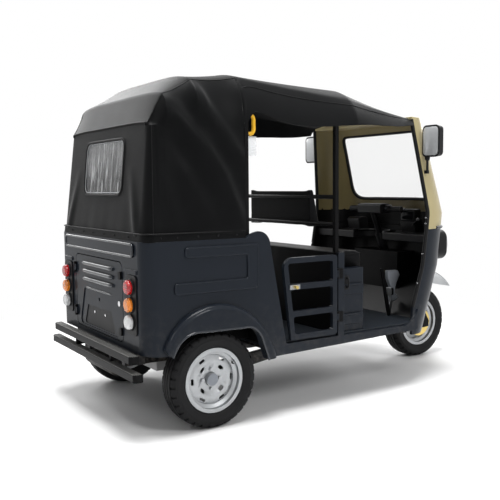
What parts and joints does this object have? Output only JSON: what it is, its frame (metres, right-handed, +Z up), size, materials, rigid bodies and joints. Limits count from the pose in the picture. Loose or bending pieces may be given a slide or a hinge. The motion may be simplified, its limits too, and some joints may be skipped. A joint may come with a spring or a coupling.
{
  "type": "auto rickshaw",
  "caption": "Three-wheeled auto rickshaw with a black folding hood, dark body, cream windscreen frame, side doors and a rear engine door.",
  "frame": {"origin": "on the ground, under the middle of the vehicle's bounding box", "axes": "+X forward, +Y to the vehicle's left, +Z up"},
  "size_m": [2.74, 1.316, 1.82],
  "materials": {
    "body_paint": "gloss",
    "cream_paint": "gloss",
    "black_metal": "satin",
    "frame_steel": "satin",
    "silver_paint": "satin",
    "zinc_yellow": "satin",
    "engine_alloy": "cast",
    "hood_vinyl": "soft sheen",
    "clear_vinyl": "clear",
    "seat_vinyl": "satin",
    "black_plastic": "matte",
    "windscreen": "clear",
    "lamp_glass": "clear",
    "lens_red": "clear red",
    "lens_amber": "clear amber",
    "lens_clear": "clear",
    "tyre": "matte"
  },
  "bodies": {
    "body": {"chassis_frame": "frame_steel", "floor_pan": "black_metal", "body_side_right": "body_paint", "body_side_left": "body_paint", "rear_panel": "body_paint", "rear_tub": "black_metal", "passenger_cushion": "seat_vinyl", "passenger_backrest": "seat_vinyl", "partition": "black_metal", "driver_seat_base": "body_paint", "driver_cushion": "seat_vinyl", "driver_backrest": "seat_vinyl", "front_apron": "body_paint", "windscreen_frame": "cream_paint", "windscreen_glass": "windscreen", "dashboard": "black_plastic", "toe_board": "black_metal", "driver_controls": "black_metal", "headlamp_housings": "black_plastic", "headlamp_lenses": "lamp_glass", "hood_roof": "hood_vinyl", "hood_rear": "hood_vinyl", "hood_sides": "hood_vinyl", "hood_window": "clear_vinyl", "hood_frame": "black_metal", "tail_lamp_plates": "black_plastic", "tail_lamps_red": "lens_red", "tail_lamps_amber": "lens_amber", "tail_lamps_clear": "lens_clear", "bumper": "black_metal", "mirrors": "black_plastic", "engine": "engine_alloy", "rear_suspension": "frame_steel", "silencer": "frame_steel", "door_hinges": "black_metal"},
    "door_right": {"door_right": "body_paint"},
    "door_left": {"door_left": "body_paint"},
    "rear_door": {"rear_door": "body_paint"},
    "steering": {"steering_stem": "black_metal", "handlebar": "black_metal", "handlebar_cover": "black_plastic", "front_mudguard": "black_plastic", "front_brake": "zinc_yellow"},
    "front_wheel": {"front_tyre": "tyre", "front_rim": "silver_paint"},
    "rear_right_wheel": {"rear_right_tyre": "tyre", "rear_right_rim": "silver_paint"},
    "rear_left_wheel": {"rear_left_tyre": "tyre", "rear_left_rim": "silver_paint"}
  },
  "joints": [
    {"name": "steering", "type": "hinge", "parent": "body", "child": "steering", "pos_m": [1.003, 0, 0.247], "axis": [-0.3746, 0, 0.9272], "range_deg": [-35, 35]},
    {"name": "front_wheel_spin", "type": "hinge", "parent": "steering", "child": "front_wheel", "pos_m": [1.077, 0, 0.247], "axis": [0, 1, 0], "continuous": true},
    {"name": "rear_right_wheel_spin", "type": "hinge", "parent": "body", "child": "rear_right_wheel", "pos_m": [-0.933, -0.541, 0.247], "axis": [0, 1, 0], "continuous": true},
    {"name": "rear_left_wheel_spin", "type": "hinge", "parent": "body", "child": "rear_left_wheel", "pos_m": [-0.933, 0.541, 0.247], "axis": [0, 1, 0], "continuous": true},
    {"name": "door_right_hinge", "type": "hinge", "parent": "body", "child": "door_right", "pos_m": [-0.136, -0.607, 0.611], "axis": [0, 0, 1], "range_deg": [0, 90]},
    {"name": "door_left_hinge", "type": "hinge", "parent": "body", "child": "door_left", "pos_m": [-0.136, 0.607, 0.611], "axis": [0, 0, -1], "range_deg": [0, 90]},
    {"name": "rear_door_hinge", "type": "hinge", "parent": "body", "child": "rear_door", "pos_m": [-1.315, 0.334, 0.645], "axis": [0, 0, -1], "range_deg": [0, 100]}
  ]
}
